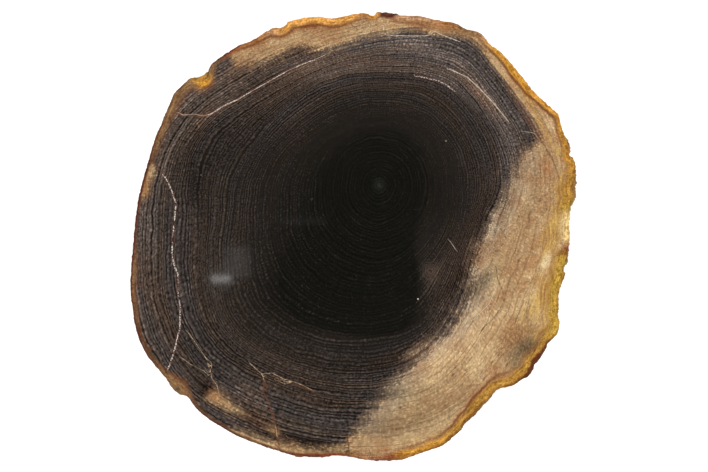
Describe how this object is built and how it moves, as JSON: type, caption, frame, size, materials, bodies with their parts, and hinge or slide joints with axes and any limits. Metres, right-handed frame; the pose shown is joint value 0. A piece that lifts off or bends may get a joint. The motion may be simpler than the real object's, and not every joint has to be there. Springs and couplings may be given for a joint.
{
  "type": "petrified wood slice",
  "caption": "Round slice of petrified wood with a flat polished face, a flat sawn back and a natural rough bark edge, lying face up.",
  "frame": {"origin": "middle of the sawn back's box, on the surface that the slice lies on", "axes": "+Z out of the polished face, +Y towards the top of the slice as it is shown, +X to its right"},
  "size_m": [0.2242, 0.2254, 0.018],
  "materials": {
    "petrified_wood": "polished on the face, sawn on the back, rough natural rind round the edge"
  },
  "bodies": {
    "root": {"petrified_wood_slice": "petrified_wood"}
  },
  "joints": []
}
